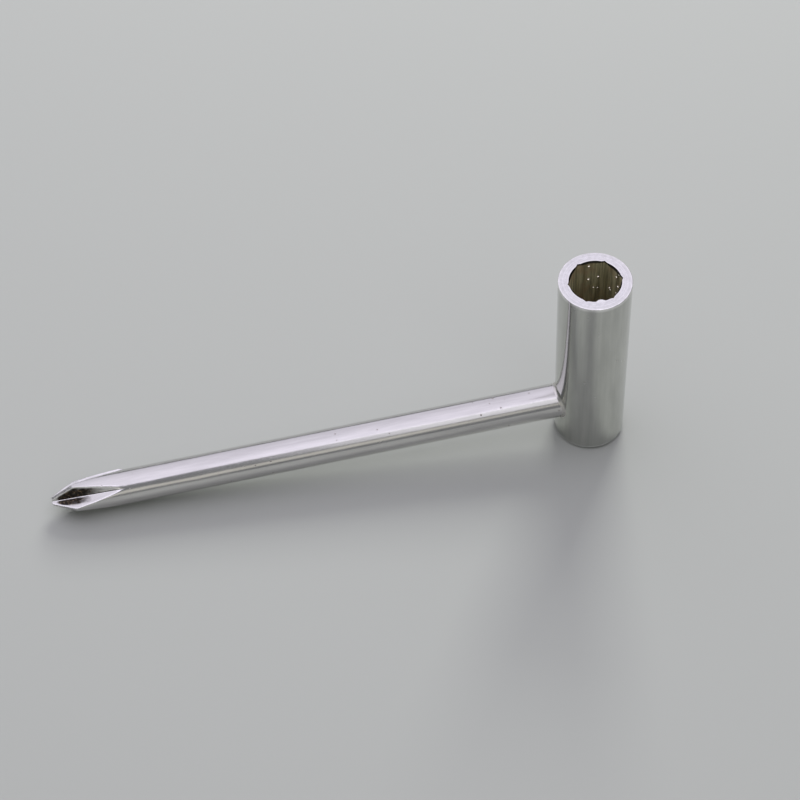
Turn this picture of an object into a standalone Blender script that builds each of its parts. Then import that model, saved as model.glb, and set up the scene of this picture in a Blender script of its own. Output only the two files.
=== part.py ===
"""Truss rod wrench: a hexagon socket barrel with a shank brazed into its foot.

Frame: metres, +Z up. The origin is the centre of the barrel's closed foot, the barrel
stands along +Z and the shank runs along -X to a cross-head screwdriver tip.
"""

import math

import bmesh
import bpy
from mathutils import Matrix, Vector

MM = 0.001

# Socket barrel
HEX_SIDES = 6
HEX_ACROSS_FLATS = 8.0 * MM
HEX_TURN = math.radians(-5.0)    # from the shank's line to the nearest corner
WALL_AT_HEX_CORNERS = 1.5 * MM
BARREL_HEIGHT = 39.0 * MM
RIM_CHAMFER = 0.12 * MM
FOOT_CHAMFER = 0.45 * MM
MOUTH_COUNTERSINK = 0.4 * MM     # depth below the rim at the middle of each flat, cut at 45 degrees
PILOT_OVER_FLATS = 0.2 * MM      # how much wider the drilled pilot is than the hexagon's flats
PILOT_BELOW_HEX = 1.0 * MM       # round bore left under the hexagon for the broached chips
DRILL_POINT_ANGLE = math.radians(118.0)
WEB_OVER_CROSS_HOLE = 1.8 * MM   # metal between the shank's hole and the drill point

# Shank
SHANK_DIAMETER = 6.0 * MM
SHANK_AXIS_HEIGHT = 8.2 * MM     # above the foot
TIP_REACH = 95.2 * MM            # barrel axis to the end of the tip
SEAT_DEPTH = 5.0 * MM            # how far the shank goes into the barrel
SEAT_CHAMFER = 0.4 * MM

# Cross-head tip
TIP_CONE_LENGTH = 4.0 * MM
TIP_END_DIAMETER = 1.6 * MM
FLUTE_COUNT = 4
FLUTE_LENGTH = 12.5 * MM
FLUTE_ROOT_DIAMETER = 0.9 * MM   # across opposite flute roots at the tip's end
FLUTE_ANGLE = math.radians(117.0)
FLUTE_TURN = math.radians(5.0)   # from half way between up and sideways to a flute's middle

# Brazed joint
JOINT_GAP = 0.1 * MM             # room for the filler film, all round the seat
BEAD_LEG = 0.55 * MM             # along the barrel and along the shank
BEAD_TOE = 0.15 * MM             # thickness left at each toe of the bead

# Finishes: colour and roughness of each piece's metal
BARREL_FINISH = ((0.66, 0.64, 0.60), 0.30)
SHANK_FINISH = ((0.70, 0.68, 0.64), 0.26)
BEAD_FINISH = ((0.74, 0.72, 0.66), 0.34)

# Facets and cutting
BARREL_SEGMENTS = 72
SHANK_SEGMENTS = 48
CUT_MARGIN = 1.0 * MM            # how far a cutter runs out past the metal
MERGE_DISTANCE = 1e-7
SMOOTH_ANGLE = math.radians(28.0)

hex_corner_radius = HEX_ACROSS_FLATS / 2 / math.cos(math.pi / HEX_SIDES)
barrel_radius = hex_corner_radius + WALL_AT_HEX_CORNERS
pilot_radius = (HEX_ACROSS_FLATS + PILOT_OVER_FLATS) / 2
mouth_radius = HEX_ACROSS_FLATS / 2 + MOUTH_COUNTERSINK
shank_radius = SHANK_DIAMETER / 2
hole_radius = shank_radius + JOINT_GAP
drill_point_height = SHANK_AXIS_HEIGHT + hole_radius + WEB_OVER_CROSS_HOLE
pilot_floor_height = drill_point_height + pilot_radius / math.tan(DRILL_POINT_ANGLE / 2)
hex_floor_height = pilot_floor_height + PILOT_BELOW_HEX
seat_end = barrel_radius - SEAT_DEPTH   # distance of the shank's inner end from the barrel axis


def clear_scene():
    for obj in list(bpy.data.objects):
        bpy.data.objects.remove(obj, do_unlink=True)


def new_object(name, bm):
    """Links the finished bmesh into the scene as one object, faces outward."""
    bmesh.ops.remove_doubles(bm, verts=bm.verts, dist=MERGE_DISTANCE)
    bmesh.ops.recalc_face_normals(bm, faces=bm.faces)
    mesh = bpy.data.meshes.new(name)
    bm.to_mesh(mesh)
    bm.free()
    obj = bpy.data.objects.new(name, mesh)
    bpy.context.scene.collection.objects.link(obj)
    return obj


def turned(name, profile, segments):
    """A solid of revolution about Z. The (radius, height) profile starts and ends on the axis."""
    bm = bmesh.new()
    verts = [bm.verts.new((radius, 0.0, height)) for radius, height in profile]
    edges = [bm.edges.new(pair) for pair in zip(verts, verts[1:])]
    bmesh.ops.spin(
        bm,
        geom=verts + edges,
        cent=(0.0, 0.0, 0.0),
        axis=(0.0, 0.0, 1.0),
        angle=math.tau,
        steps=segments,
        use_merge=True,
    )
    return new_object(name, bm)


def prism(name, outline, sweep):
    """A closed prism: the outline's points carried along the sweep vector."""
    bm = bmesh.new()
    base = bm.faces.new([bm.verts.new(point) for point in outline])
    grown = bmesh.ops.extrude_face_region(bm, geom=[base], use_keep_orig=True)
    moved = [item for item in grown["geom"] if isinstance(item, bmesh.types.BMVert)]
    bmesh.ops.translate(bm, verts=moved, vec=sweep)
    return new_object(name, bm)


def cut(obj, cutters):
    """Takes the cutters out of the object, then throws them away."""
    for cutter in cutters:
        cutter.hide_render = True
        cutter.display_type = "WIRE"
        boolean = obj.modifiers.new(cutter.name, "BOOLEAN")
        boolean.operation = "DIFFERENCE"
        boolean.solver = "EXACT"
        boolean.object = cutter
    graph = bpy.context.evaluated_depsgraph_get()
    mesh = bpy.data.meshes.new_from_object(obj.evaluated_get(graph))
    mesh.name = obj.name
    obj.modifiers.clear()
    obj.data = mesh
    for cutter in cutters:
        bpy.data.objects.remove(cutter, do_unlink=True)


def finish(obj, parent, metal):
    """Smooth shading with crisp edges, a metal of the piece's own, and a place under the tool's empty."""
    colour, roughness = metal
    obj.data.shade_smooth()
    obj.data.set_sharp_from_angle(angle=SMOOTH_ANGLE)
    material = bpy.data.materials.new(obj.name)
    material.use_nodes = True
    shader = material.node_tree.nodes["Principled BSDF"]
    shader.inputs["Base Color"].default_value = (*colour, 1.0)
    shader.inputs["Metallic"].default_value = 1.0
    shader.inputs["Roughness"].default_value = roughness
    obj.data.materials.clear()
    obj.data.materials.append(material)
    obj.parent = parent


def along_shank(obj):
    """Lays a piece made along its own +Z on the shank's axis, +Z towards the tip."""
    obj.location = (0.0, 0.0, SHANK_AXIS_HEIGHT)
    obj.rotation_euler = (0.0, -math.pi / 2, 0.0)
    bpy.context.view_layer.update()


def pilot_cutter():
    """Drilled pilot with its drill point, opening into the mouth's 45 degree countersink."""
    top = BARREL_HEIGHT + CUT_MARGIN
    countersink_foot = BARREL_HEIGHT - (mouth_radius - pilot_radius)
    profile = [
        (0.0, top),
        (mouth_radius + CUT_MARGIN, top),
        (pilot_radius, countersink_foot),
        (pilot_radius, pilot_floor_height),
        (0.0, drill_point_height),
    ]
    return turned("pilot_cutter", profile, BARREL_SEGMENTS)


def hexagon_cutter():
    """The broached hexagon, two of its corners nearly in line with the shank."""
    corners = []
    for side in range(HEX_SIDES):
        angle = HEX_TURN + side * math.tau / HEX_SIDES
        x = hex_corner_radius * math.cos(angle)
        y = hex_corner_radius * math.sin(angle)
        corners.append((x, y, hex_floor_height))
    rise = BARREL_HEIGHT + CUT_MARGIN - hex_floor_height
    return prism("hexagon_cutter", corners, Vector((0.0, 0.0, rise)))


def cross_hole_cutter():
    """The flat-bottomed hole that takes the shank."""
    start = seat_end - JOINT_GAP
    end = barrel_radius + CUT_MARGIN
    profile = [(0.0, end), (hole_radius, end), (hole_radius, start), (0.0, start)]
    cutter = turned("cross_hole_cutter", profile, SHANK_SEGMENTS)
    along_shank(cutter)
    return cutter


def make_socket_barrel():
    profile = [
        (0.0, BARREL_HEIGHT),
        (barrel_radius - RIM_CHAMFER, BARREL_HEIGHT),
        (barrel_radius, BARREL_HEIGHT - RIM_CHAMFER),
        (barrel_radius, FOOT_CHAMFER),
        (barrel_radius - FOOT_CHAMFER, 0.0),
        (0.0, 0.0),
    ]
    barrel = turned("socket_barrel", profile, BARREL_SEGMENTS)
    cut(barrel, [pilot_cutter(), hexagon_cutter(), cross_hole_cutter()])
    return barrel


def flute_cutter(index):
    """One V flute, half way between two wings: its root climbs from the tip's end to the shank's skin."""
    quarter = math.tau / FLUTE_COUNT
    root_start = FLUTE_ROOT_DIAMETER / 2
    slope = (shank_radius - root_start) / FLUTE_LENGTH
    first = -CUT_MARGIN
    last = FLUTE_LENGTH + CUT_MARGIN / slope
    flank = SHANK_DIAMETER + CUT_MARGIN
    reach = flank * math.cos(FLUTE_ANGLE / 2)
    width = flank * math.sin(FLUTE_ANGLE / 2)
    root = root_start + slope * first
    outline = [
        Vector((root, 0.0, -first)),
        Vector((root + reach, width, -first)),
        Vector((root + reach, -width, -first)),
    ]
    sweep = Vector((slope * (last - first), 0.0, first - last))
    turn = Matrix.Rotation((index + 0.5) * quarter + FLUTE_TURN, 3, "Z")
    lift = Vector((0.0, 0.0, TIP_REACH))
    points = [turn @ point + lift for point in outline]
    return prism(f"flute_cutter_{index}", points, turn @ sweep)


def make_shank():
    profile = [
        (0.0, TIP_REACH),
        (TIP_END_DIAMETER / 2, TIP_REACH),
        (shank_radius, TIP_REACH - TIP_CONE_LENGTH),
        (shank_radius, seat_end + SEAT_CHAMFER),
        (shank_radius - SEAT_CHAMFER, seat_end),
        (0.0, seat_end),
    ]
    shank = turned("shank", profile, SHANK_SEGMENTS)
    cut(shank, [flute_cutter(index) for index in range(FLUTE_COUNT)])
    along_shank(shank)
    return shank


def on_barrel_skin(across, radius):
    """The point over the barrel's round skin, clear of it by the joint's gap, at a radius round the shank."""
    point = across * radius
    point.z = math.sqrt((barrel_radius + JOINT_GAP) ** 2 - point.y**2)
    return point


def bead_section(angle):
    """Corner section of the bead, blunt at both toes, at one angle round the shank."""
    across = Vector((math.cos(angle), math.sin(angle), 0.0))
    rise = Vector((0.0, 0.0, 1.0))
    inner_foot = on_barrel_skin(across, hole_radius)
    outer_foot = on_barrel_skin(across, hole_radius + BEAD_LEG)
    outer_toe = outer_foot + rise * BEAD_TOE
    crest = inner_foot + rise * BEAD_LEG
    crest_toe = crest + across * BEAD_TOE
    return [inner_foot, outer_foot, outer_toe, crest_toe, crest]


def make_braze_fillet():
    """The filler's ring: its foot follows the round barrel, its crest the shank."""
    bm = bmesh.new()
    rings = []
    for step in range(SHANK_SEGMENTS):
        section = bead_section(step * math.tau / SHANK_SEGMENTS)
        rings.append([bm.verts.new(point) for point in section])
    for ring, after in zip(rings, rings[1:] + rings[:1]):
        for here in range(len(ring)):
            there = (here + 1) % len(ring)
            bm.faces.new((ring[here], ring[there], after[there], after[here]))
    bead = new_object("braze_fillet", bm)
    along_shank(bead)
    return bead


def main():
    clear_scene()
    tool = bpy.data.objects.new("truss_rod_wrench", None)
    bpy.context.scene.collection.objects.link(tool)
    finish(make_socket_barrel(), tool, BARREL_FINISH)
    finish(make_shank(), tool, SHANK_FINISH)
    finish(make_braze_fillet(), tool, BEAD_FINISH)


main()
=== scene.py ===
# %% [markdown]
# # Truss rod wrench
# A short steel bar with a blind hexagon socket in its upper end, and a 6 mm rod brazed into its foot.
# The rod's far end is ground to a cross-head screwdriver tip. The whole tool is nickel plated.
#
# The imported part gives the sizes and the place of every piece. It is loaded first and never moved. This
# lesson puts a finer skin in place of each of its three solids, and lights the tool on a pale floor.

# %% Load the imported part
import math

import bpy
from mathutils import Matrix, Quaternion, Vector


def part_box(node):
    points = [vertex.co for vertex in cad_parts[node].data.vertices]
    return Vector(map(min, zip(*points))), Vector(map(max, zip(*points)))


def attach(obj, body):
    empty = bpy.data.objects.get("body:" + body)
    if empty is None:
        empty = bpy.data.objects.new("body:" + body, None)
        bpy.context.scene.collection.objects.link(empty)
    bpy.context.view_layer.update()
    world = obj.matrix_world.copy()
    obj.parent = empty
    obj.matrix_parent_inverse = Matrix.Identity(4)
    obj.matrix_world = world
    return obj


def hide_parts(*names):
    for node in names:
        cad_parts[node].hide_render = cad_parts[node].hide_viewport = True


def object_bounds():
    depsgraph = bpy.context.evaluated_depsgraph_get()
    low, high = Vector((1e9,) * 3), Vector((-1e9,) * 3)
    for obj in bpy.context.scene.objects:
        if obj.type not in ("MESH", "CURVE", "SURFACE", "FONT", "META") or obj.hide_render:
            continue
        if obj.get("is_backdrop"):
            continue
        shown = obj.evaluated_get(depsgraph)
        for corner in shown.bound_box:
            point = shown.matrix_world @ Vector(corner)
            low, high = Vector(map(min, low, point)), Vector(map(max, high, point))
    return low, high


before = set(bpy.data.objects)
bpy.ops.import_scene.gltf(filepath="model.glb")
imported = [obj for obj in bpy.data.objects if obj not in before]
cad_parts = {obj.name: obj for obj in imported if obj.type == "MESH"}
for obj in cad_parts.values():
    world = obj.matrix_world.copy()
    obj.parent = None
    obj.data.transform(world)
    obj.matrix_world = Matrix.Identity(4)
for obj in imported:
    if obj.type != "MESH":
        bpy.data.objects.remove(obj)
cad_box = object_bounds()
MM = 0.001
print("CAD nodes:", sorted(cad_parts))

# %% [markdown]
# ## Sizes
# A skin that replaces a solid has to fill the same space. The outer sizes are therefore read from the
# solids' boxes, and only the sizes that a box can't show, such as the hexagon, are written below.

# %% Sizes from the solids
barrel_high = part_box("socket_barrel")[1]
shank_low, shank_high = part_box("shank")
BARREL_RADIUS = barrel_high.x
BARREL_HEIGHT = barrel_high.z
SHANK_RADIUS = (shank_high.z - shank_low.z) / 2
AXIS_HEIGHT = (shank_high.z + shank_low.z) / 2
TIP_REACH = -shank_low.x
SEAT_END = -shank_high.x
print(f"barrel {2000 * BARREL_RADIUS:.2f} mm wide and {1000 * BARREL_HEIGHT:.1f} mm high")
print(f"shank {2000 * SHANK_RADIUS:.2f} mm thick, tip {1000 * TIP_REACH:.1f} mm from the barrel's axis")

# %% [markdown]
# ## Camera
# The photograph looks down on the tool from the front, with a slight roll. The angles below were found
# by matching the outlines of the barrel and the shank. The long lens follows from how little they taper
# with distance.

# %% Camera
AZIMUTH, ELEVATION, ROLL = (math.radians(angle) for angle in (-8.275, 53.635, -4.63))
CAMERA_DISTANCE = 334.776 * MM
CAMERA_TARGET = Vector((-33.686, 0.0, 17.305)) * MM
LENS = 88.335

toward_camera = Vector(
    (
        math.sin(AZIMUTH) * math.cos(ELEVATION),
        -math.cos(AZIMUTH) * math.cos(ELEVATION),
        math.sin(ELEVATION),
    )
)
level_right = Vector((math.cos(AZIMUTH), math.sin(AZIMUTH), 0.0))
level_up = toward_camera.cross(level_right)
right = level_right * math.cos(ROLL) + level_up * math.sin(ROLL)
up = toward_camera.cross(right)

camera = bpy.data.objects.new("camera", bpy.data.cameras.new("camera"))
camera.data.lens = LENS
turn = Matrix((right, up, toward_camera)).transposed().to_4x4()
camera.matrix_world = Matrix.Translation(CAMERA_TARGET + toward_camera * CAMERA_DISTANCE) @ turn
bpy.context.scene.collection.objects.link(camera)
bpy.context.scene.camera = camera
bpy.context.scene.view_settings.view_transform = "Standard"
print("camera at", [round(1000 * v, 1) for v in camera.matrix_world.translation], "mm")

# %% [markdown]
# ## Floor
# The tool doesn't lie flat: it leans by about 3.5 degrees, on the edge of its foot below the shank and
# on the shoulder of the tip. The solids stay upright in their own frame, so the floor is tilted under
# them instead. The metal mirrors the floor, so a neutral grey keeps the nickel's own tint.

# %% Floor under the foot's edge and the tip's shoulder
FOOT_REST = Vector((-5.67, 0.0, 0.0)) * MM
TIP_REST = Vector((-91.2, 0.0, 5.2)) * MM
FLOOR_HALF = 3.0
FLOOR_COLOUR = (0.450, 0.468, 0.430, 1.0)
FLOOR_ROUGHNESS = 0.7

along_floor = (FOOT_REST - TIP_REST).normalized()
corners = [
    FOOT_REST + along_floor * FLOOR_HALF * a + Vector((0.0, FLOOR_HALF * b, 0.0))
    for a, b in ((-1, -1), (1, -1), (1, 1), (-1, 1))
]
floor_mesh = bpy.data.meshes.new("floor")
floor_mesh.from_pydata(corners, [], [(0, 1, 2, 3)])
floor = bpy.data.objects.new("floor", floor_mesh)
bpy.context.scene.collection.objects.link(floor)
floor_paint = bpy.data.materials.new("floor_paint")
floor_paint.use_nodes = True
floor_shader = floor_paint.node_tree.nodes["Principled BSDF"]
floor_shader.inputs["Base Color"].default_value = FLOOR_COLOUR
floor_shader.inputs["Roughness"].default_value = FLOOR_ROUGHNESS
floor_mesh.materials.append(floor_paint)
floor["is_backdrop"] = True
print(f"floor leans {math.degrees(math.asin(-along_floor.z)):.2f} degrees")

# %% [markdown]
# ## Light
# Polished metal is mostly a picture of what stands round it, so the panels are placed by what each face
# mirrors. A large cool panel from above to behind whitens the socket's rim and the shank's upper side,
# and it dims towards the back, so that the shank looks round. A low warm panel in front gives the beige
# band on the shank, and a fill on the right closes the dark gap between the two, but only near the
# barrel. A small bright panel behind, a little to the right, throws the shadow forward, which darkens
# the barrel's front. It is kept out of reflections, where it would burn out the edges.

# %% Soft panels
LIGHT_AIM = Vector((-40.0, 0.0, 12.0)) * MM


def soft_panel(name, azimuth, elevation, distance, width, height, radiance, tint, spin=0.0):
    """An area light that faces the tool. Azimuth 0 is straight in front, and 90 is on the right."""
    lamp = bpy.data.lights.new(name, "AREA")
    lamp.shape = "RECTANGLE"
    lamp.size, lamp.size_y = width, height
    lamp.energy = radiance * math.pi * width * height
    lamp.color = tint
    panel = bpy.data.objects.new(name, lamp)
    around, rise = math.radians(azimuth), math.radians(elevation)
    away = Vector((math.sin(around) * math.cos(rise), -math.cos(around) * math.cos(rise), math.sin(rise)))
    facing = away.to_track_quat("Z", "Y") @ Quaternion((0, 0, 1), math.radians(spin))
    panel.location = LIGHT_AIM + away * distance
    panel.rotation_euler = facing.to_euler()
    panel.visible_camera = False
    bpy.context.scene.collection.objects.link(panel)
    return panel


def dim_towards_back(panel, near, far, share):
    """Lets a panel's light fall to a share of itself between two places along Y, as in a deep soft box."""
    panel.data.use_nodes = True
    tree = panel.data.node_tree
    spot = tree.nodes.new("ShaderNodeNewGeometry")
    axes = tree.nodes.new("ShaderNodeSeparateXYZ")
    fall = tree.nodes.new("ShaderNodeMapRange")
    for name, value in (("From Min", near), ("From Max", far), ("To Min", 1.0), ("To Max", share)):
        fall.inputs[name].default_value = value
    tree.links.new(spot.outputs["Position"], axes.inputs["Vector"])
    tree.links.new(axes.outputs["Y"], fall.inputs["Value"])
    tree.links.new(fall.outputs["Result"], tree.nodes["Emission"].inputs["Strength"])


print("panel helpers ready")

# %% Four panels and a plain grey world
WHITE, WARM = (1.0, 1.0, 1.0), (1.0, 0.955, 0.85)
COOL, FAINTLY_COOL = (0.90, 0.85, 1.0), (0.95, 0.93, 1.0)
WORLD_GREY = (0.20, 0.205, 0.215, 1.0)

overhead = soft_panel(
    "overhead_panel",
    azimuth=180.0, elevation=63.5, distance=0.60,
    width=1.30, height=1.50, radiance=1.10, tint=COOL, spin=9.0,
)
dim_towards_back(overhead, near=-0.20, far=0.60, share=0.66)
soft_panel(
    "front_panel",
    azimuth=-10.5, elevation=18.0, distance=0.70,
    width=0.64, height=0.21, radiance=0.48, tint=WARM, spin=25.0,
)
soft_panel(
    "fill_panel",
    azimuth=25.5, elevation=50.0, distance=0.85,
    width=0.43, height=0.46, radiance=0.87, tint=FAINTLY_COOL, spin=-17.0,
)
key = soft_panel(
    "key_panel",
    azimuth=154.0, elevation=31.0, distance=0.80,
    width=0.32, height=0.32, radiance=12.5, tint=WHITE,
)
key.visible_glossy = False

world = bpy.data.worlds.new("studio")
world.use_nodes = True
world.node_tree.nodes["Background"].inputs["Color"].default_value = WORLD_GREY
bpy.context.scene.world = world

# %% [markdown]
# ## Formulas as nodes
# Both the shapes and the finishes below follow formulas, and a formula in nodes is a long chain of Math
# nodes. This small class lets the chain be written as ordinary arithmetic: every sign or function adds
# one Math node.


# %% Writing a formula as Math nodes
class Field:
    """A socket that can stand in a formula."""

    def __init__(self, tree, socket):
        self.tree, self.socket = tree, socket

    def __add__(self, other):
        return calc("ADD", self, other)

    def __sub__(self, other):
        return calc("SUBTRACT", self, other)

    def __rsub__(self, other):
        return calc("SUBTRACT", other, self)

    def __mul__(self, other):
        return calc("MULTIPLY", self, other)

    def __truediv__(self, other):
        return calc("DIVIDE", self, other)

    __radd__ = __add__


def feed(tree, socket, value):
    """Links a field to a socket, or sets a plain value on it."""
    if isinstance(value, Field):
        tree.links.new(value.socket, socket)
    else:
        socket.default_value = value


def calc(operation, *values):
    """One Math node fed with fields and numbers."""
    tree = next(value.tree for value in values if isinstance(value, Field))
    node = tree.nodes.new("ShaderNodeMath")
    node.operation = operation
    for socket, value in zip(node.inputs, values):
        feed(tree, socket, value)
    return Field(tree, node.outputs[0])


def blend(low, high, share):
    """Goes from low to high as the share goes from 0 to 1."""
    return low + (high - low) * share


def clamp01(value):
    return calc("MINIMUM", calc("MAXIMUM", value, 0.0), 1.0)


print("formula helpers ready")


# %% Adding nodes and node groups
def add_node(tree, kind, feeds=None, **settings):
    """Adds a node with its settings and feeds the named inputs."""
    node = tree.nodes.new(kind)
    for name, value in settings.items():
        setattr(node, name, value)
    for name, value in (feeds or {}).items():
        feed(tree, node.inputs[name], value)
    return node


def out(tree, node, name=0):
    return Field(tree, node.outputs[name])


def new_tree(name, kind, inputs, outputs):
    """An empty node group with named sockets. Gives the tree, its inputs by name and its output node."""
    tree = bpy.data.node_groups.new(name, kind)
    for label, socket_type in inputs:
        tree.interface.new_socket(label, in_out="INPUT", socket_type=f"NodeSocket{socket_type}")
    for label, socket_type in outputs:
        tree.interface.new_socket(label, in_out="OUTPUT", socket_type=f"NodeSocket{socket_type}")
    entry = tree.nodes.new("NodeGroupInput")
    given = {label: Field(tree, entry.outputs[label]) for label, _ in inputs}
    return tree, given, tree.nodes.new("NodeGroupOutput")


def new_shape_tree(name, inputs):
    """A Geometry Nodes tree that takes the rows, its sizes by name and a metal, and gives a mesh."""
    return new_tree(
        name,
        "GeometryNodeTree",
        [("Geometry", "Geometry"), *((label, "Float") for label in inputs), ("Material", "Material")],
        [("Geometry", "Geometry")],
    )


print("node helpers ready")

# %% [markdown]
# ## Shared finishes
# Three effects come back on the pieces: the fine grain that polishing leaves, small pits in the
# plating, and edges rubbed bright. Each one is a shader node group, built once and placed in the
# materials with its own values. The groups give only values that change over the surface; the shader
# itself stays in each material.

# %% Polishing grain
GRAIN_ROUGHNESS = 0.62


def make_grain_group():
    """Noise drawn out into streaks: a large stretch value means short waves along that axis."""
    tree, given, leave = new_tree(
        "polishing_grain",
        "ShaderNodeTree",
        [("Vector", "Vector"), ("Stretch", "Vector"), ("Detail", "Float")],
        [("Tone", "Float")],
    )
    stretched = add_node(tree, "ShaderNodeVectorMath", operation="MULTIPLY")
    feed(tree, stretched.inputs[0], given["Vector"])
    feed(tree, stretched.inputs[1], given["Stretch"])
    noise = add_node(
        tree,
        "ShaderNodeTexNoise",
        {
            "Vector": out(tree, stretched),
            "Scale": 1.0,
            "Detail": given["Detail"],
            "Roughness": GRAIN_ROUGHNESS,
        },
    )
    feed(tree, leave.inputs["Tone"], out(tree, noise))
    return tree


grain_group = make_grain_group()
print("group:", grain_group.name)

# %% Pits in the plating
PIT_SHARPNESS = 20.0


def make_pit_group():
    """Small round pits: only a share of the Voronoi cells hold one, and none is larger than Size cells."""
    tree, given, leave = new_tree(
        "plating_pits",
        "ShaderNodeTree",
        [("Vector", "Vector"), ("Scale", "Float"), ("Share", "Float"), ("Size", "Float")],
        [("Mask", "Float")],
    )
    cells = add_node(tree, "ShaderNodeTexVoronoi", {"Vector": given["Vector"], "Scale": given["Scale"]})
    split = add_node(tree, "ShaderNodeSeparateColor", {"Color": out(tree, cells, "Color")})
    size = clamp01((given["Share"] - out(tree, split, 0)) / given["Share"]) * given["Size"]
    mask = clamp01((size - out(tree, cells, "Distance")) * PIT_SHARPNESS)
    feed(tree, leave.inputs["Mask"], mask)
    return tree


pit_group = make_pit_group()
print("group:", pit_group.name)

# %% Edges rubbed bright
WEAR_GAIN, WEAR_BASE = 1.6, 0.1


def make_wear_group():
    """The edge mark of a piece, broken up by noise."""
    tree, given, leave = new_tree(
        "edge_wear",
        "ShaderNodeTree",
        [("Vector", "Vector"), ("Edge", "Float"), ("Scale", "Float")],
        [("Mask", "Float")],
    )
    noise = add_node(
        tree,
        "ShaderNodeTexNoise",
        {"Vector": given["Vector"], "Scale": given["Scale"], "Detail": 3.0},
    )
    mask = clamp01(given["Edge"] * (out(tree, noise) * WEAR_GAIN + WEAR_BASE))
    feed(tree, leave.inputs["Mask"], mask)
    return tree


wear_group = make_wear_group()
print("group:", wear_group.name)

# %% Starting a metal and placing a group in it
# A Mix node has sockets for every type of data, so those for colours go by number
COLOUR_A, COLOUR_B, MIXED_COLOUR = 6, 7, 2


def new_metal(name):
    """An empty metal: its tree, its shader and the object coordinates that every pattern reads."""
    metal = bpy.data.materials.new(name)
    metal.use_nodes = True
    tree = metal.node_tree
    shader = tree.nodes["Principled BSDF"]
    shader.inputs["Metallic"].default_value = 1.0
    place = out(tree, add_node(tree, "ShaderNodeTexCoord"), "Object")
    return metal, tree, shader, place


def place_group(tree, group, place, **feeds):
    """Places a shared group in a metal and gives its result."""
    node = tree.nodes.new("ShaderNodeGroup")
    node.node_tree = group
    feed(tree, node.inputs["Vector"], place)
    for name, value in feeds.items():
        feed(tree, node.inputs[name], value)
    return out(tree, node)


def mark(tree, name):
    """A float that the shape's node tree has stored on the surface."""
    return out(tree, add_node(tree, "ShaderNodeAttribute", attribute_name=name), "Fac")


def contrast(value, middle, gain):
    """Spreads a pattern round its middle, so that light and dark part more clearly."""
    return clamp01((value - middle) * gain + 0.5)


def mix_colour(tree, share, low, high):
    """Goes from one colour to another as the share goes from 0 to 1."""
    node = add_node(tree, "ShaderNodeMix", data_type="RGBA")
    feed(tree, node.inputs["Factor"], share)
    feed(tree, node.inputs[COLOUR_A], low)
    feed(tree, node.inputs[COLOUR_B], high)
    return out(tree, node, MIXED_COLOUR)


def bump(tree, height, distance):
    """Relief: the normal, tilted by a height that counts in steps of the distance."""
    node = add_node(tree, "ShaderNodeBump", {"Height": height, "Distance": distance})
    return out(tree, node, "Normal")


print("metal helpers ready")

# %% [markdown]
# ## A grid bent by a rule
# All three pieces are the same thing to Geometry Nodes: a flat grid whose columns run round an axis and
# whose rows follow the outline of a section. Each row's numbers are stored on one loose vertex, the
# tree reads them back with Sample Index, and a formula gives every grid point its place. Merging the
# points that meet closes the seam and the ends.


# %% Rows for a grid
def row_object(name, rows, marks):
    """One loose vertex per row: its first two numbers as x and y, every further one as a named mark."""
    mesh = bpy.data.meshes.new(name)
    mesh.from_pydata([(row[0], row[1], 0.0) for row in rows], [], [])
    for column, label in enumerate(marks, 2):
        attribute = mesh.attributes.new(label, "FLOAT", "POINT")
        attribute.data.foreach_set("value", [row[column] for row in rows])
    obj = bpy.data.objects.new(name, mesh)
    bpy.context.scene.collection.objects.link(obj)
    return obj


print("row helper ready")


# %% Reading the rows back in a tree
def grid_fields(tree, geometry, columns, marks):
    """A grid of the rows and columns, with each point's column number and its row's numbers as fields."""
    size = add_node(tree, "GeometryNodeAttributeDomainSize", {"Geometry": geometry})
    rows = out(tree, size, "Point Count")
    grid = add_node(tree, "GeometryNodeMeshGrid", {"Vertices X": columns + 1.0, "Vertices Y": rows})
    index = out(tree, add_node(tree, "GeometryNodeInputIndex"))
    column = calc("FLOOR", (index + 0.5) / rows)
    row = index - column * rows

    def read(value, kind):
        sample = add_node(tree, "GeometryNodeSampleIndex", data_type=kind)
        feed(tree, sample.inputs["Geometry"], geometry)
        feed(tree, sample.inputs["Value"], value)
        feed(tree, sample.inputs["Index"], row)
        return out(tree, sample)

    spot = read(out(tree, add_node(tree, "GeometryNodeInputPosition")), "FLOAT_VECTOR")
    axes = add_node(tree, "ShaderNodeSeparateXYZ", {"Vector": spot})
    numbers = {"first": out(tree, axes, "X"), "second": out(tree, axes, "Y")}
    for label in marks:
        named = add_node(tree, "GeometryNodeInputNamedAttribute", {"Name": label})
        numbers[label] = read(out(tree, named), "FLOAT")
    return out(tree, grid), column, numbers


print("grid helper ready")

# %% Closing the grid
MERGE_DISTANCE = 2e-7


def close_grid(tree, given, leave, grid, place, stored):
    """Moves the grid's points to their place, stores the marks, closes the seams and sets the metal."""
    spot = add_node(tree, "ShaderNodeCombineXYZ", dict(zip("XYZ", place)))
    mesh = grid
    for label, value in stored.items():
        feeds = {"Geometry": mesh, "Name": label, "Value": value}
        mesh = out(tree, add_node(tree, "GeometryNodeStoreNamedAttribute", feeds, data_type="FLOAT"))
    for kind, feeds in (
        ("GeometryNodeSetPosition", {"Position": out(tree, spot)}),
        ("GeometryNodeMergeByDistance", {"Distance": MERGE_DISTANCE}),
        ("GeometryNodeSetShadeSmooth", {}),
        ("GeometryNodeRealizeInstances", {}),
        ("GeometryNodeSetMaterial", {"Material": given["Material"]}),
    ):
        mesh = out(tree, add_node(tree, kind, {"Geometry": mesh, **feeds}))
    feed(tree, leave.inputs["Geometry"], mesh)


print("closing helper ready")

# %% Growing a piece from its rows
SHARP_ANGLE = math.radians(42.0)


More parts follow.
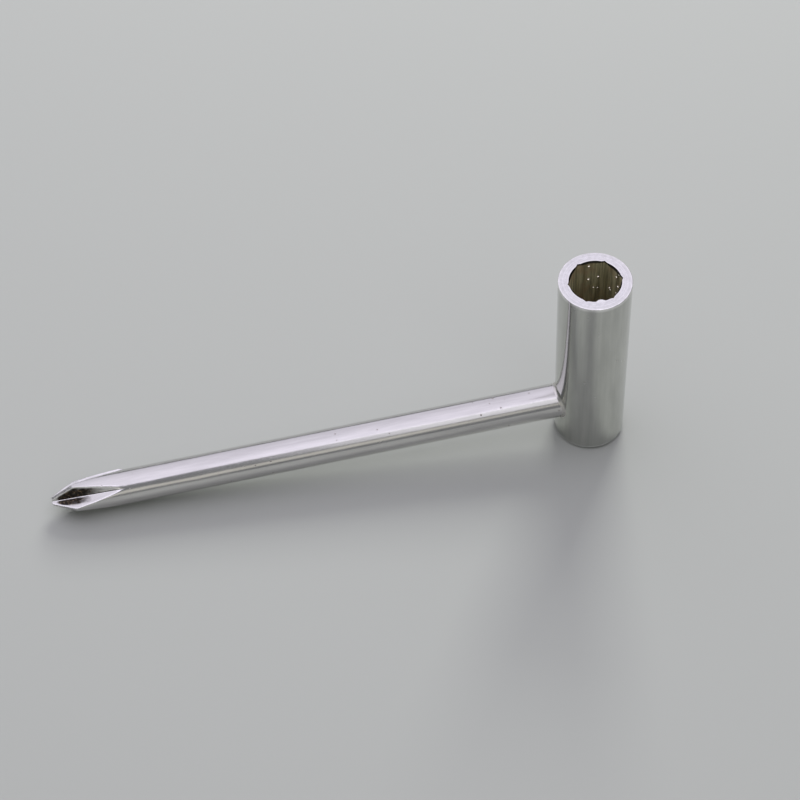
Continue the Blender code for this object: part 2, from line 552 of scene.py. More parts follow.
def grow(obj, tree, values, cutter=None):
    """Runs the tree on the row object, cuts if asked, and keeps the result as a plain mesh."""
    modifier = obj.modifiers.new(tree.name, "NODES")
    modifier.node_group = tree
    for item in tree.interface.items_tree:
        if item.in_out == "INPUT" and item.name in values:
            modifier[item.identifier] = values[item.name]
    if cutter:
        boolean = obj.modifiers.new("cut", "BOOLEAN")
        boolean.operation, boolean.solver, boolean.object = "DIFFERENCE", "EXACT", cutter
    graph = bpy.context.evaluated_depsgraph_get()
    mesh = bpy.data.meshes.new_from_object(obj.evaluated_get(graph))
    mesh.name = obj.name
    obj.modifiers.clear()
    obj.data = mesh
    if cutter:
        bpy.data.objects.remove(cutter, do_unlink=True)
    mesh.set_sharp_from_angle(angle=SHARP_ANGLE)
    print(f"{obj.name}: {len(mesh.vertices)} points, {len(mesh.polygons)} faces")


print("growing helper ready")

# %% [markdown]
# ## Socket barrel: finish
# The barrel is turned, polished and plated, so its skin is nearly a mirror with a faint upright grain,
# and its rim keeps the rings of a facing tool. Inside, the plating hardly reaches: the bore is raw,
# darker and yellowish, with the broach's upright streaks, brown stains and a few flecks of torn metal
# that catch the light. A black line of painted shade runs round the countersink. The shape stores
# marks called bore, rim, painted_lip_shade and edge on its surface, so that one material can hold all
# of these. Painted maps would do it too, but stored marks stay sharp at any distance.

# %% Lathe marks and leaning flecks
# The Mix node's sockets for vectors, by number
VECTOR_A, VECTOR_B, MIXED_VECTOR = 4, 5, 1
SKYWARD = (0.0, 0.0, 1.0)


def lathe_place(tree, place):
    """Coordinates that change only with the distance from the barrel's axis, for marks left by a lathe."""
    axes = add_node(tree, "ShaderNodeSeparateXYZ", {"Vector": place})
    x, y = out(tree, axes, "X"), out(tree, axes, "Y")
    return out(tree, add_node(tree, "ShaderNodeCombineXYZ", {"X": calc("SQRT", x * x + y * y)}))


def lean_up(tree, normal, share):
    """Turns the normal towards the sky, for flecks that lean out of an upright wall."""
    node = add_node(tree, "ShaderNodeMix", data_type="VECTOR")
    feed(tree, node.inputs["Factor"], share)
    feed(tree, node.inputs[VECTOR_A], normal)
    feed(tree, node.inputs[VECTOR_B], SKYWARD)
    mixed = out(tree, node, MIXED_VECTOR)
    return out(tree, add_node(tree, "ShaderNodeVectorMath", {0: mixed}, operation="NORMALIZE"))


print("barrel finish helpers ready")

# %% Nickel of the barrel
RUBBED_BRIGHT = (0.93, 0.92, 0.91, 1.0)
# The same plating is painted darker on the upright wall and paler on the faced rim than its own colour:
# painted shade on the side and painted light on the top. The grain sets the tone within each.
WALL_DARK, WALL_LIGHT = (0.478, 0.484, 0.458, 1.0), (0.590, 0.598, 0.562, 1.0)
RING_DARK, RING_LIGHT = (0.655, 0.650, 0.645, 1.0), (0.820, 0.815, 0.810, 1.0)
RAW_DARK, RAW_LIGHT = (0.21, 0.20, 0.115, 1.0), (0.83, 0.80, 0.55, 1.0)
STAIN_BROWN = (0.50, 0.31, 0.17, 1.0)
FLECK_PALE = (0.84, 0.79, 0.66, 1.0)
# The black of the shade painted round the countersink
LIP_SHADE_BLACK = (0.030, 0.027, 0.022, 1.0)
FLECK_LEAN = 0.67
BARREL_RELIEF = 2.5e-6


def make_barrel_metal():
    metal, tree, shader, place = new_metal("barrel_nickel")
    bore, rim, painted_lip_shade, edge = (mark(tree, name) for name in ("bore", "rim", "painted_lip_shade", "edge"))
    grain = place_group(tree, grain_group, place, Stretch=(1400.0, 1400.0, 45.0), Detail=4.0)
    cloud = place_group(tree, grain_group, place, Stretch=(420.0, 420.0, 90.0), Detail=2.0)
    streak = place_group(tree, grain_group, place, Stretch=(1500.0, 1500.0, 90.0), Detail=5.0)
    stain = place_group(tree, grain_group, place, Stretch=(300.0, 300.0, 180.0), Detail=2.0)
    rings = lathe_place(tree, place)
    faced = place_group(tree, grain_group, rings, Stretch=(3500.0, 1.0, 1.0), Detail=3.0)
    pits = place_group(tree, pit_group, place, Scale=1100.0, Share=0.25, Size=0.22)
    flecks = place_group(tree, pit_group, place, Scale=1250.0, Share=0.40, Size=0.28)
    worn = place_group(tree, wear_group, place, Edge=edge, Scale=900.0)

    # Colour: the wall, the faced rim, the rubbed edges, then the raw bore with painted shade at its lip
    # Painted shade and light: the wall is darker and the rim paler than the plating's own colour
    wall = mix_colour(tree, contrast(grain + cloud, middle=1.0, gain=1.6), WALL_DARK, WALL_LIGHT)
    ring = mix_colour(tree, contrast(faced + grain, middle=1.0, gain=1.8), RING_DARK, RING_LIGHT)
    skin = mix_colour(tree, rim, wall, ring)
    rubbed = mix_colour(tree, worn, skin, RUBBED_BRIGHT)
    raw = mix_colour(tree, contrast(streak, middle=0.5, gain=3.0), RAW_DARK, RAW_LIGHT)
    brown = mix_colour(tree, clamp01((stain - 0.48) * 6.0) * 0.55, raw, STAIN_BROWN)
    flecked = mix_colour(tree, flecks, brown, FLECK_PALE)
    # Painted shade: a black line round the countersink
    lip_shaded = mix_colour(tree, painted_lip_shade, flecked, LIP_SHADE_BLACK)
    feed(tree, shader.inputs["Base Color"], mix_colour(tree, bore, rubbed, lip_shaded))
    feed(tree, shader.inputs["Metallic"], 1.0 - bore * 0.5 * (1.0 - flecks) * (1.0 - painted_lip_shade))

    # Polish and relief
    polish = 0.04 + grain * 0.12 + pits * 0.2 + rim * 0.06
    feed(tree, shader.inputs["Roughness"], blend(polish, 0.40 + streak * 0.2 - flecks * 0.3, bore))
    skin_height = blend(grain + cloud - pits * 5.0, faced * 1.5, rim)
    normal = bump(tree, blend(skin_height, streak * 6.0, bore), BARREL_RELIEF)
    feed(tree, shader.inputs["Normal"], lean_up(tree, normal, flecks * bore * FLECK_LEAN))
    return metal


barrel_metal = make_barrel_metal()
print("finish:", barrel_metal.name)

# %% [markdown]
# ## Socket barrel: shape
# A lathe gives the outside, a drill the round pilot, and a hexagonal broach then cuts the six corners
# out of the pilot's wall. In a formula the wall is the larger of the pilot's radius and the hexagon's,
# and a smooth maximum leaves the small rounding of a real cut. The columns are gathered towards the six
# corners, where the shape turns most. One flat has kept a curl of broached metal at the lip, as the
# photograph shows.

# %% Rows of the barrel, from the drill point over the rim to the foot
PILOT_RADIUS = 4.1 * MM
MOUTH_RADIUS = 4.40 * MM
HEX_TURN = math.radians(-5.0)
HEX_FLATS = 8.0 * MM
DRILL_POINT = 13.1 * MM
PILOT_FLOOR = 15.56 * MM
HEX_FLOOR = 16.56 * MM
RIM_ROUND = 0.12 * MM
FOOT_ROUND = 0.45 * MM
ABOVE_PILOT_FLOOR, BELOW_HEX_FLOOR = 0.08 * MM, 0.05 * MM


def quarter_turn(radius, low, high, steps):
    """Offsets along a rounded edge, between two angles."""
    for step in range(steps + 1):
        angle = math.radians(low + (high - low) * step / steps)
        yield radius * math.cos(angle), radius * math.sin(angle)


def bore_rows():
    """The drill point, the pilot and the broached wall."""
    rows = [(0.0, DRILL_POINT, 0, 0, 0, 0, 1)]
    for share in (0.5, 0.97):
        height = DRILL_POINT + (PILOT_FLOOR - DRILL_POINT) * share
        rows.append((PILOT_RADIUS * share, height, 0, 0, 0, 0, 1))
    rows.append((PILOT_RADIUS, PILOT_FLOOR + ABOVE_PILOT_FLOOR, 0, 0, 0, 0, 1))
    rows.append((PILOT_RADIUS, HEX_FLOOR - BELOW_HEX_FLOOR, 0, 0, 0, 0, 1))
    for height in (HEX_FLOOR, 19 * MM, 22 * MM, 25 * MM, 28 * MM, 31 * MM, 34 * MM, 36.5 * MM, 38 * MM):
        rows.append((PILOT_RADIUS, height, 1, 0, 0, 0, 1))
    return rows


def lip_rows():
    """The countersink, and the rim as far as its rounded outer edge."""
    rows = []
    for radius, drop, lip, edge, bore in (
        (4.1, 0.50, 0.2, 0, 1),
        (4.105, 0.31, 0.5, 0, 1),
        (4.16, 0.23, 0.8, 0, 1),
        (4.24, 0.15, 1.0, 0, 1),
        (4.33, 0.06, 1.0, 0, 1),
        (4.365, 0.025, 1.0, 0.5, 0.7),
        (4.385, 0.008, 1.0, 1.0, 0),
    ):
        rows.append((radius * MM, BARREL_HEIGHT - drop * MM, 1, 0, lip, edge, bore))
    ring = BARREL_RADIUS - RIM_ROUND
    for reach, lip, edge in ((0.985, 0.9, 1.0), (0.94, 0.6, 0.3), (0.8, 0.15, 0), (0.5, 0, 0), (0.2, 0, 0)):
        rows.append((ring, BARREL_HEIGHT, 0, reach, lip, edge, 0))
    for across, rise in quarter_turn(RIM_ROUND, 90, 0, 8):
        rows.append((ring + across, BARREL_HEIGHT - RIM_ROUND + rise, 0, 0, 0, 0.9, 0))
    return rows


def outer_rows():
    """The outer wall, closely spaced where the cross hole will be, and the foot."""
    heights = [38.2, 36, 33, 30, 27, 24, 21, 18, 15.5, 13.5]
    heights += [12.4 - 0.4 * step for step in range(22)]
    heights += [2.8, 1.5, 0.8]
    rows = [(BARREL_RADIUS, height * MM, 0, 0, 0, 0, 0) for height in heights]
    foot = BARREL_RADIUS - FOOT_ROUND
    for across, rise in quarter_turn(FOOT_ROUND, 0, -90, 6):
        rows.append((foot + across, FOOT_ROUND + rise, 0, 0, 0, 0.7, 0))
    return rows + [(foot * share, 0.0, 0, 0, 0, 0, 0) for share in (0.85, 0.5, 0.0)]


# A row holds a radius and a height, and then these marks
BARREL_MARKS = ("broach", "reach", "lip", "edge", "bore")
barrel = row_object("socket_barrel_skin", bore_rows() + lip_rows() + outer_rows(), BARREL_MARKS)
print("barrel rows:", len(barrel.data.vertices))

# %% The rule of the barrel
CURL_FADE = 0.25 * MM
CURL_DROOP = 0.15


def make_barrel_tree():
    inputs = ["Columns", "Gather", "Turn", "Flats", "Mouth", "Rounding"]
    inputs += ["Burr Angle", "Burr Width", "Burr Reach"]
    tree, given, leave = new_shape_tree("turned_and_broached", inputs)
    grid, column, row = grid_fields(tree, given["Geometry"], given["Columns"], BARREL_MARKS)

    # The columns, gathered at the corners, and the hexagon's radius at each
    even = column / given["Columns"] * math.tau
    gathered = even - given["Gather"] * calc("SINE", even * 6.0)
    angle = gathered + given["Turn"]
    sixth = math.tau / 6
    from_flat = calc("MODULO", gathered + math.tau, sixth) - sixth / 2
    flat = given["Flats"] / 2.0 / calc("COSINE", from_flat)

    # The wall is broached, and the rim reaches from the mouth's outline to the outer edge
    cut = calc("SMOOTH_MAX", row["first"], flat, given["Rounding"])
    wall = blend(row["first"], cut, row["broach"])
    mouth = calc("SMOOTH_MAX", given["Mouth"], flat, given["Rounding"])
    offset = (angle - given["Burr Angle"]) / given["Burr Width"]
    curl = given["Burr Reach"] * row["lip"] * calc("EXPONENT", offset * offset * offset * offset * -1.0)
    radius = blend(wall, mouth, row["reach"]) - curl
    place = (
        radius * calc("COSINE", angle),
        radius * calc("SINE", angle),
        row["second"] - curl * CURL_DROOP,
    )

    on_curl = clamp01(curl / CURL_FADE)
    stored = {
        "bore": row["bore"],
        "rim": clamp01(row["reach"] * 5.0),
        # Where the countersink is painted black as shade
        "painted_lip_shade": clamp01(row["bore"] * row["lip"] * 4.0 - 1.2) * (1.0 - on_curl),
        "edge": clamp01(row["edge"] + on_curl),
    }
    close_grid(tree, given, leave, grid, place, stored)
    return tree


barrel_tree = make_barrel_tree()
print("tree:", barrel_tree.name, len(barrel_tree.nodes), "nodes")

# %% A drill for the cross hole
HOLE_CLEARANCE = 0.1 * MM
HOLE_SIDES = 96
DRILL_OVERRUN = 2.0 * MM


def cross_hole():
    """The flat-bottomed hole that takes the shank, along -X."""
    radius = SHANK_RADIUS + HOLE_CLEARANCE
    points, faces = [], []
    for x in (HOLE_CLEARANCE - SEAT_END, -(BARREL_RADIUS + DRILL_OVERRUN)):
        for step in range(HOLE_SIDES):
            angle = step * math.tau / HOLE_SIDES
            points.append((x, radius * math.sin(angle), AXIS_HEIGHT + radius * math.cos(angle)))
    for step in range(HOLE_SIDES):
        after = (step + 1) % HOLE_SIDES
        faces.append((step, after, after + HOLE_SIDES, step + HOLE_SIDES))
    faces += [tuple(reversed(range(HOLE_SIDES))), tuple(range(HOLE_SIDES, 2 * HOLE_SIDES))]
    mesh = bpy.data.meshes.new("cross_hole")
    mesh.from_pydata(points, [], faces)
    obj = bpy.data.objects.new("cross_hole", mesh)
    bpy.context.scene.collection.objects.link(obj)
    return obj


drill = cross_hole()
print("drill:", len(drill.data.polygons), "faces")

# %% Grow the barrel and drill its cross hole
grow(
    barrel,
    barrel_tree,
    {
        "Columns": 180.0,
        "Gather": 0.085,
        "Turn": HEX_TURN,
        "Flats": HEX_FLATS,
        "Mouth": MOUTH_RADIUS,
        "Rounding": 0.10 * MM,
        "Burr Angle": math.radians(266.5),
        "Burr Width": math.radians(8.0),
        "Burr Reach": 0.48 * MM,
        "Material": barrel_metal,
    },
    drill,
)
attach(barrel, "root")
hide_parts("socket_barrel")

# %% [markdown]
# ## Shank: finish
# The rod is drawn and polished lengthwise, so its grain runs along it and its highlights are drawn out.
# Small pits sit in the plating. At the tip, the cone keeps the cross marks of turning and the flutes
# the lengthwise marks of the wheel, and the edges are rubbed bright; a bright line along the root of
# one flank of each flute is a painted highlight. The flutes are painted dark, mostly near the end and
# in a line along the root: partly residue, partly painted shade and painted dark reflection. The shape
# stores where all of this is, and noise breaks up the outlines.

# %% Nickel of the shank
DRAWN_DARK, DRAWN_LIGHT = (0.590, 0.582, 0.570, 1.0), (0.700, 0.690, 0.675, 1.0)
PIT_GREY = (0.42, 0.40, 0.37, 1.0)
HATCH_GREY = (0.38, 0.37, 0.36, 1.0)
# Colours of the flutes' darkening: partly grime, partly painted shade and painted dark reflection
GRIME_AND_SHADE_DARK, GRIME_AND_SHADE_BROWN = (0.035, 0.03, 0.026, 1.0), (0.26, 0.19, 0.12, 1.0)
SHANK_RELIEF = 3.0e-6


def make_shank_metal():
    metal, tree, shader, place = new_metal("shank_nickel")
    grime_and_shade, cone, flute, edge = (mark(tree, name) for name in ("grime_and_shade", "cone", "flute", "edge"))
    grain = place_group(tree, grain_group, place, Stretch=(40.0, 1500.0, 1500.0), Detail=4.0)
    cloud = place_group(tree, grain_group, place, Stretch=(120.0, 650.0, 650.0), Detail=2.0)
    ground = place_group(tree, grain_group, place, Stretch=(150.0, 4200.0, 4200.0), Detail=2.0)
    turned = place_group(tree, grain_group, place, Stretch=(3600.0, 150.0, 150.0), Detail=2.0)
    blotch = place_group(tree, grain_group, place, Stretch=(800.0, 2300.0, 2300.0), Detail=3.0)
    crumb = place_group(tree, grain_group, place, Stretch=(2800.0, 2800.0, 2800.0), Detail=2.0)
    pits = place_group(tree, pit_group, place, Scale=1100.0, Share=0.30, Size=0.22)
    worn = place_group(tree, wear_group, place, Edge=edge, Scale=1200.0)

    # Colour: the skin with its pits, the turned cone, the rubbed edges with the painted root highlight,
    # then the grime and painted shade in the flutes
    skin = mix_colour(tree, contrast(grain + cloud, middle=1.0, gain=1.6), DRAWN_DARK, DRAWN_LIGHT)
    pitted = mix_colour(tree, pits, skin, PIT_GREY)
    hatch = contrast(turned, middle=0.5, gain=4.0)
    hatched = mix_colour(tree, cone * (1.0 - hatch) * 0.6, pitted, HATCH_GREY)
    rubbed = mix_colour(tree, worn, hatched, RUBBED_BRIGHT)
    # Painted shade and dark reflection in the flutes, mixed with grime
    dirt_and_shade = clamp01((grime_and_shade * 1.6 + blotch * 1.2 - 1.25) * 1.2)
    grime_and_shade_colour = mix_colour(tree, clamp01((crumb - 0.52) * 5.0), GRIME_AND_SHADE_DARK, GRIME_AND_SHADE_BROWN)
    feed(tree, shader.inputs["Base Color"], mix_colour(tree, dirt_and_shade, rubbed, grime_and_shade_colour))

    # Polish and relief
    polish = 0.14 + grain * 0.10 + pits * 0.2 + cone * 0.08 + flute * 0.08
    feed(tree, shader.inputs["Roughness"], polish + dirt_and_shade * 0.25)
    marks = blend(blend(grain, ground * 1.2, flute), turned * 3.0, cone)
    feed(tree, shader.inputs["Normal"], bump(tree, marks + cloud * 2.0 - pits * 6.0, SHANK_RELIEF))
    return metal


shank_metal = make_shank_metal()
print("finish:", shank_metal.name)

# %% [markdown]
# ## Shank: shape
# The tip is a cone with four V flutes ground into it. Each flute's root climbs from near the axis, at
# the end, to the rod's skin. In a formula the surface is the smaller of the cone's radius and the
# flute's, and a smooth minimum rounds the edges that the wheel left. The columns follow the flute's
# edges, so that these stay clean lines, and pinch together where a flute runs out. On the far side one
# edge has kept a thin flash, as a wheel leaves it where it breaks out.

# %% Rows of the shank, from its seat to the end of the tip
SEAT_CHAMFER = 0.4 * MM
CONE_LENGTH = 4.0 * MM
END_RADIUS = 0.8 * MM
FLUTE_LENGTH = 12.8 * MM
SHOULDER_ROUND = 0.25 * MM


def smooth_min(a, b, distance):
    """The same blend as Blender's Smooth Minimum."""
    share = max(distance - abs(a - b), 0.0) / distance
    return min(a, b) - share**3 * distance / 6


def tip_radius(along):
    share = (TIP_REACH - along) / CONE_LENGTH
    return smooth_min(SHANK_RADIUS, END_RADIUS + (SHANK_RADIUS - END_RADIUS) * share, SHOULDER_ROUND)


def shank_rows():
    """Distance from the barrel's axis, radius, then the marks shrink and end."""
    seat = SHANK_RADIUS - SEAT_CHAMFER
    rows = [(SEAT_END, seat, shrink, 0.0) for shrink in (0.0, 0.5, 1.0)]
    plain = [SEAT_END + SEAT_CHAMFER, 4 * MM]
    plain += [(6.0 + 3.2 * step) * MM for step in range(22)]
    run_out = TIP_REACH - FLUTE_LENGTH
    plain += [run_out + step * MM for step in (-7, -4.8, -3.2, -2, -1.2, -0.6, -0.2)]
    rows += [(along, SHANK_RADIUS, 1.0, 0.0) for along in plain]
    backs = [12.05 - 0.3 * step for step in range(26)]
    backs += [4.35, 4.24, 4.15, 4.08, 4.02, 3.96, 3.9, 3.83, 3.74, 3.6]
    backs += [3.35 - 0.3 * step for step in range(11)]
    backs += [0.18, 0.09]
    rows += [(TIP_REACH - back * MM, tip_radius(TIP_REACH - back * MM), 1.0, 0.0) for back in backs]
    for back, shrink in ((0.045, 0.99), (0.015, 0.965), (0.001, 0.91), (0.001, 0.55), (0.001, 0.0)):
        rows.append((TIP_REACH - back * MM, tip_radius(TIP_REACH - back * MM), shrink, 1.0))
    return rows


SHANK_MARKS = ("shrink", "end")
shank = row_object("shank_skin", shank_rows(), SHANK_MARKS)
print("shank rows:", len(shank.data.vertices))

# %% A flute's root, and the columns that follow its edges
FLUTES = 4
FLANK_COLUMNS = 12
WING_COLUMNS = 6
SECTOR_COLUMNS = FLANK_COLUMNS + WING_COLUMNS
SECTOR_ANGLE = math.pi / FLUTES
PINCH_LENGTH = 14.0 * MM
LEAST_PINCH = math.radians(0.4)


def flute_section(given, back, radius):
    """The root's radius, half the V's angle, and the angle from the flute's middle to its edge."""
    share = back / given["Flute Length"]
    climb = given["Rod Radius"] - given["Root Radius"]
    belly = clamp01(share) * clamp01(1.0 - share) * 4.0
    root = given["Root Radius"] + climb * share - given["Hollow"] * belly
    half_v = given["V Angle"] / 2.0
    cosine = clamp01(root * calc("SINE", half_v) / radius)
    edge_angle = calc("ARCCOSINE", cosine) - (math.pi / 2 - half_v)
    beyond = clamp01((back - given["Flute Length"]) / PINCH_LENGTH)
    pinch = beyond * beyond * (3.0 - beyond * 2.0) * (SECTOR_ANGLE / 2) + LEAST_PINCH
    return root, half_v, calc("MAXIMUM", edge_angle, pinch)


def eased(value):
    """Steps that lie closer together at both ends of a run."""
    return 0.5 - calc("COSINE", clamp01(value) * math.pi) * 0.5


def flute_columns(column, edge_angle):
    """A column's sector, whether that is an odd one, and its angle from the middle of the flute."""
    sector = calc("FLOOR", (column + 0.01) / SECTOR_COLUMNS)
    step = column - sector * SECTOR_COLUMNS
    odd = calc("MODULO", sector, 2.0)
    from_middle = blend(SECTOR_COLUMNS - step, step, odd)
    on_flank = eased(from_middle / FLANK_COLUMNS)
    on_wing = eased((from_middle - FLANK_COLUMNS) / WING_COLUMNS)
    turn = edge_angle * on_flank + (SECTOR_ANGLE - edge_angle) * on_wing
    return sector, odd, turn


print("tip columns:", 2 * FLUTES * SECTOR_COLUMNS)

# %% [markdown]
# The two flanks of a flute are painted unlike each other. On one the grime and painted shade lie all
# over, on the other only by the root, where a painted highlight line parts the two. The one flank that ends
# in the flash stays clean.

# %% Where the tip is rubbed, turned and ground, and where residue lies
RUBBED_WIDTH = 0.30 * MM
ROOT_HIGHLIGHT_WIDTH = 0.16 * MM
CUT_FADE = 1.0 * MM
FLUTE_FADE = 0.06 * MM
CONE_FADE, CONE_SKIN = 0.2 * MM, 0.1 * MM
CLEAN_END, END_FADE = 0.3 * MM, 0.9 * MM
ROOT_PATCH_LENGTH, WIDE_PATCH_LENGTH, PATCH_FADE = 8.7 * MM, 11.4 * MM, 4.4 * MM
ROOT_PATCH_WIDTH, ROOT_PATCH_FADE = 1.5 * MM, 0.5 * MM
CLEAN_SKIN, SKIN_FADE = 0.08 * MM, 0.25 * MM
LINE_WIDTH, LINE_LENGTH, LINE_FADE = 0.14 * MM, 12.4 * MM, 1.6 * MM


def grime_and_shade_mark(back, depth, from_root, odd, painted_root_highlight):
    """Grime and painted shade: a patch near the end on both flanks, and on the odd one a line along the
    root.
    """
    past_clean_end = clamp01((back - CLEAN_END) / END_FADE)
    length = blend(ROOT_PATCH_LENGTH, WIDE_PATCH_LENGTH - depth, odd)
    by_root = clamp01((ROOT_PATCH_WIDTH - from_root) / ROOT_PATCH_FADE)
    below_skin = clamp01((depth - CLEAN_SKIN) / SKIN_FADE)
    fade = clamp01((length - back) / PATCH_FADE)
    patch = below_skin * fade * (1.0 - painted_root_highlight) * blend(by_root, 1.0, odd)
    line = clamp01(1.4 - from_root / LINE_WIDTH) * clamp01((LINE_LENGTH - back) / LINE_FADE) * odd
    return calc("MAXIMUM", patch, line) * past_clean_end


def tip_marks(given, back, depth, from_root, odd, row, flash, far_flank):
    """The marks that the shank's finish reads."""
    on_cut = clamp01((given["Flute Length"] - back) / CUT_FADE)
    near_edge = clamp01(1.0 - calc("ABSOLUTE", depth) / RUBBED_WIDTH)
    # A painted highlight: a bright line along the root of the even flanks, counted as a rubbed edge
    painted_root_highlight = clamp01(1.0 - from_root / ROOT_HIGHLIGHT_WIDTH) * (1.0 - odd)
    on_cone = clamp01((given["Cone Length"] - back) / CONE_FADE)
    return {
        "edge": clamp01((near_edge + painted_root_highlight) * on_cut + row["end"] + flash * 2.0),
        "flute": clamp01(depth / FLUTE_FADE) * on_cut,
        "cone": on_cone * clamp01(1.0 - depth / CONE_SKIN),
        "grime_and_shade": grime_and_shade_mark(back, depth, from_root, odd, painted_root_highlight) * (1.0 - far_flank),
    }


print("tip marks ready")

# %% The rule of the fluted rod
ROOT_SOFTNESS = 0.005
FLASH_SECTOR = 1.0
FLASH_WIDTH = 0.12 * MM
FLASH_RISE, FLASH_RUN_OUT = 2.0 * MM, 0.6 * MM


def make_shank_tree():
    inputs = ["Reach", "Axis Height", "Rod Radius", "Root Radius", "Flute Length", "Cone Length", "Hollow"]
    inputs += ["V Angle", "Turn", "Rounding", "Flash"]
    tree, given, leave = new_shape_tree("fluted_rod", inputs)

    # The number of columns is set in a Math node, so that it can stand in a formula
    columns = add_node(tree, "ShaderNodeMath", {0: 2.0 * FLUTES * SECTOR_COLUMNS, 1: 0.0}, operation="ADD")
    grid, column, row = grid_fields(tree, given["Geometry"], out(tree, columns), SHANK_MARKS)
    along, radius = row["first"], row["second"]
    back = given["Reach"] - along
    root, half_v, edge_angle = flute_section(given, back, radius)
    sector, odd, turn = flute_columns(column, edge_angle)
    angle = (sector + 1.0 - odd) * SECTOR_ANGLE + turn * (odd * 2.0 - 1.0) + given["Turn"]

    # The surface: the smaller of the turned radius and the flute's flank
    sine = calc("SQRT", calc("SINE", turn) * calc("SINE", turn) + ROOT_SOFTNESS)
    flank = root / (calc("COSINE", turn) - sine / calc("TANGENT", half_v))
    surface = calc("SMOOTH_MIN", radius, flank, given["Rounding"]) * row["shrink"]

    # A thin flash of metal stands up along one edge of one flute, up to its run-out
    from_edge = (turn - edge_angle) * radius / FLASH_WIDTH
    on_flute = clamp01(back / FLASH_RISE) * clamp01((given["Flute Length"] - back) / FLASH_RUN_OUT)
    far_flank = calc("COMPARE", sector, FLASH_SECTOR, 0.5)
    flash = calc("EXPONENT", from_edge * from_edge * -1.0) * far_flank * on_flute
    surface = surface + given["Flash"] * flash
    place = (
        along * -1.0,
        surface * calc("SINE", angle),
        given["Axis Height"] + surface * calc("COSINE", angle),
    )
    stored = tip_marks(given, back, radius - flank, turn * flank, odd, row, flash, far_flank)
    close_grid(tree, given, leave, grid, place, stored)
    return tree


shank_tree = make_shank_tree()
print("tree:", shank_tree.name, len(shank_tree.nodes), "nodes")

# %% Grow the shank
grow(
    shank,
    shank_tree,
    {
        "Reach": TIP_REACH,
        "Axis Height": AXIS_HEIGHT,
        "Rod Radius": SHANK_RADIUS,
        "Root Radius": 0.45 * MM,
        "Flute Length": FLUTE_LENGTH,
        "Cone Length": CONE_LENGTH,
        "Hollow": 0.08 * MM,
        "V Angle": math.radians(117.0),
        "Turn": math.radians(5.0),
        "Rounding": 0.16 * MM,
        "Flash": 0.24 * MM,
        "Material": shank_metal,
    },
)
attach(shank, "root")
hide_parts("shank")

# %% [markdown]
# ## Braze fillet: finish
# The filler has flowed into the corner between the shank and the barrel and was plated over with the
# rest. It was never polished, so it is duller than its neighbours, with a slightly lumpy skin.

# %% Plated braze
BRAZE_DARK, BRAZE_LIGHT = (0.56, 0.545, 0.51, 1.0), (0.72, 0.705, 0.67, 1.0)
BRAZE_RUBBED = (0.80, 0.79, 0.77, 1.0)
BRAZE_RELIEF = 1.2e-5


def make_braze_metal():
    metal, tree, shader, place = new_metal("braze_metal")
    lumps = place_group(tree, grain_group, place, Stretch=(900.0, 900.0, 900.0), Detail=3.0)
    pits = place_group(tree, pit_group, place, Scale=1500.0, Share=0.35, Size=0.22)
    worn = place_group(tree, wear_group, place, Edge=mark(tree, "edge"), Scale=1500.0)
    skin = mix_colour(tree, lumps, BRAZE_DARK, BRAZE_LIGHT)
    feed(tree, shader.inputs["Base Color"], mix_colour(tree, worn, skin, BRAZE_RUBBED))
    feed(tree, shader.inputs["Roughness"], 0.22 + lumps * 0.14 + pits * 0.2)
    feed(tree, shader.inputs["Normal"], bump(tree, lumps - pits * 0.4, BRAZE_RELIEF))
    return metal


braze_metal = make_braze_metal()
print("finish:", braze_metal.name)

# %% [markdown]
# ## Braze fillet: shape
# The ring follows the saddle line where the round rod meets the round barrel. Sweeping a profile along
# that line would work too, but the profile would lean with the line. A rule that measures from the two
# skins keeps both toes of the fillet on them all the way round, and noise lets its width wander as a
# real one does. The filler has crept twice as far along the shank as along the barrel.

# %% Rows of the fillet: its hollow face, then the film in the joint's mouth
FILLET_HOLLOW = 0.24
FACE_STEPS = 10
TOE_BITE = 0.02
FILM_DEPTH = 0.6


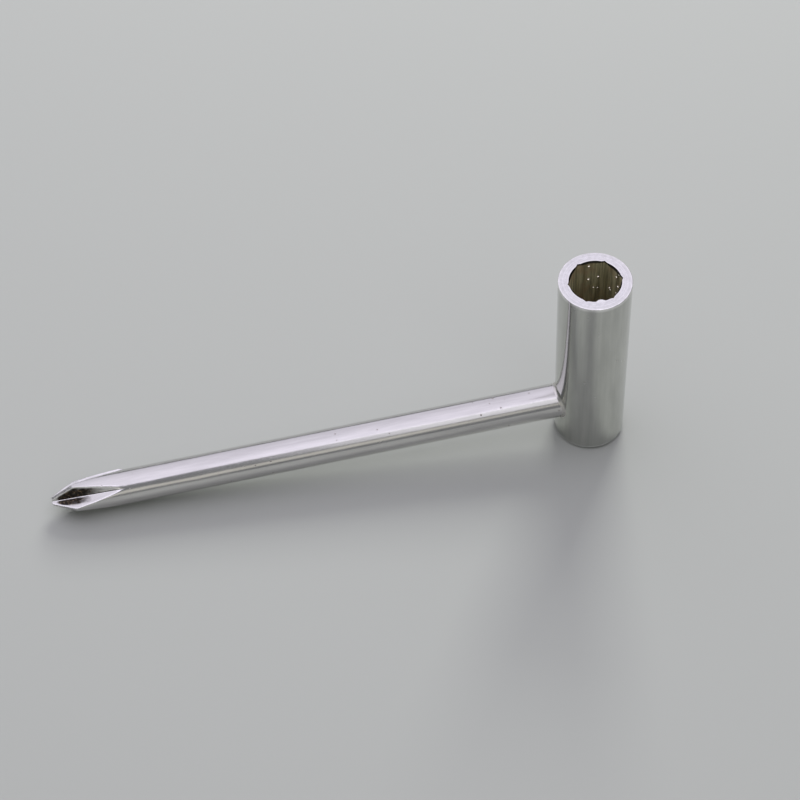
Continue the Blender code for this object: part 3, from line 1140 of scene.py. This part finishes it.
def fillet_rows():
    """Shares of the leg along the barrel and along the shank, then the mark edge."""
    rows = []
    for step in range(FACE_STEPS + 1):
        t = step / FACE_STEPS
        corner = 2 * t * (1 - t) * FILLET_HOLLOW
        out_share = (1 - t) ** 2 + corner
        up_share = t**2 + corner
        rows.append((out_share, up_share, 1.0 if step in (0, FACE_STEPS) else 0.0))
    rows[0] = (1.0, -TOE_BITE, 1.0)
    rows[-1] = (-TOE_BITE, 1.0, 1.0)
    rows += [(0.02, -FILM_DEPTH, 0.0), (0.16, -FILM_DEPTH, 0.0), (0.17, -0.03, 0.0)]
    return rows + rows[:1]


FILLET_MARKS = ("edge",)
fillet = row_object("braze_fillet_skin", fillet_rows(), FILLET_MARKS)
print("fillet rows:", len(fillet.data.vertices))


# %% The rule of the fillet
def make_fillet_tree():
    inputs = ["Columns", "Rod Radius", "Barrel Radius", "Axis Height", "Leg", "Spread", "Wander", "Seed"]
    tree, given, leave = new_shape_tree("fillet_on_saddle", inputs)
    grid, column, row = grid_fields(tree, given["Geometry"], given["Columns"], FILLET_MARKS)
    angle = column / given["Columns"] * math.tau
    sine, cosine = calc("SINE", angle), calc("COSINE", angle)
    spot = add_node(tree, "ShaderNodeCombineXYZ", {"X": sine, "Y": cosine, "Z": given["Seed"]})
    noise = add_node(tree, "ShaderNodeTexNoise", {"Vector": out(tree, spot), "Scale": 2.6, "Detail": 2.0})
    leg = given["Leg"] * (1.0 + (out(tree, noise) - 0.5) * given["Wander"])
    radius = given["Rod Radius"] + row["first"] * leg * given["Spread"]
    side = radius * sine
    skin = calc("SQRT", given["Barrel Radius"] * given["Barrel Radius"] - side * side)
    place = ((skin + row["second"] * leg) * -1.0, side, given["Axis Height"] + radius * cosine)
    close_grid(tree, given, leave, grid, place, {"edge": row["edge"]})
    return tree


fillet_tree = make_fillet_tree()
print("tree:", fillet_tree.name, len(fillet_tree.nodes), "nodes")

# %% Grow the fillet
grow(
    fillet,
    fillet_tree,
    {
        "Columns": 120.0,
        "Rod Radius": SHANK_RADIUS,
        "Barrel Radius": BARREL_RADIUS,
        "Axis Height": AXIS_HEIGHT,
        "Leg": 0.48 * MM,
        "Spread": 0.5,
        "Wander": 0.45,
        "Seed": 4.0,
        "Material": braze_metal,
    },
)
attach(fillet, "root")
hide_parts("braze_fillet")

# %% Sizes and finish
visual_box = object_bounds()
boxes = {"cad": cad_box, "visual": visual_box}
for name, box in boxes.items():
    print(name, "box, mm:", [[round(1000 * v, 3) for v in corner] for corner in box])
